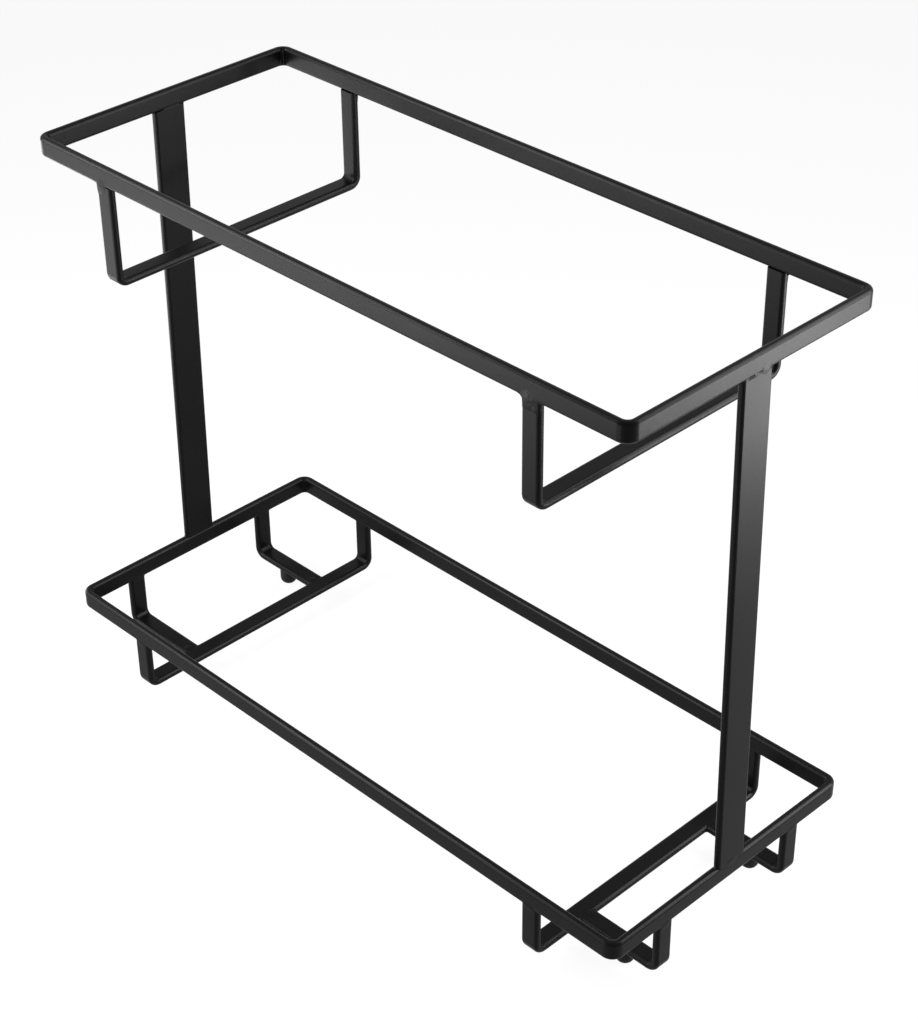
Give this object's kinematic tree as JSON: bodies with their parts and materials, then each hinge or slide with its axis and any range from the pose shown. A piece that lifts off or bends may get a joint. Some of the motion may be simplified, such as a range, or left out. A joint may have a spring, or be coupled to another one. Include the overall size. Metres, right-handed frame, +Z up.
{
  "type": "two-tier shelf",
  "caption": "Tiered countertop shelf frame of black flat steel strip: rectangular rings on leaning end posts, U-shaped cradles that hold trays, and bent feet with rubber pads.",
  "frame": {"origin": "on the floor, under the middle of the frame", "axes": "+X along the long side to the right, +Y along the depth to the back, +Z up"},
  "size_m": [0.308, 0.129, 0.249],
  "materials": {
    "powder_coat": "satin black powder coat on steel",
    "pad_rubber": "matte black rubber"
  },
  "bodies": {
    "root": {"upper_ring": "powder_coat", "lower_ring": "powder_coat", "weld_upper_ring_seam": "powder_coat", "post_left": "powder_coat", "post_right": "powder_coat", "upper_cradle_left": "powder_coat", "upper_cradle_right": "powder_coat", "lower_cradle_left": "powder_coat", "lower_cradle_right": "powder_coat", "foot_bracket_left_front": "powder_coat", "foot_bracket_left_back": "powder_coat", "foot_bracket_right_front": "powder_coat", "foot_bracket_right_back": "powder_coat", "weld_upper_cradle_left_front": "powder_coat", "weld_upper_cradle_left_back": "powder_coat", "weld_upper_cradle_right_front": "powder_coat", "weld_upper_cradle_right_back": "powder_coat", "weld_lower_cradle_left_front": "powder_coat", "weld_lower_cradle_left_back": "powder_coat", "weld_lower_cradle_right_front": "powder_coat", "weld_lower_cradle_right_back": "powder_coat", "weld_post_left_top": "powder_coat", "weld_post_left_bottom": "powder_coat", "weld_post_right_top": "powder_coat", "weld_post_right_bottom": "powder_coat", "weld_foot_bracket_left_front": "powder_coat", "weld_foot_bracket_left_back": "powder_coat", "weld_foot_bracket_right_front": "powder_coat", "weld_foot_bracket_right_back": "powder_coat", "weld_foot_joint_left_front": "powder_coat", "weld_foot_joint_left_back": "powder_coat", "weld_foot_joint_right_front": "powder_coat", "weld_foot_joint_right_back": "powder_coat", "pad_left_front": "pad_rubber", "pad_left_back": "pad_rubber", "pad_right_front": "pad_rubber", "pad_right_back": "pad_rubber"}
  },
  "joints": []
}
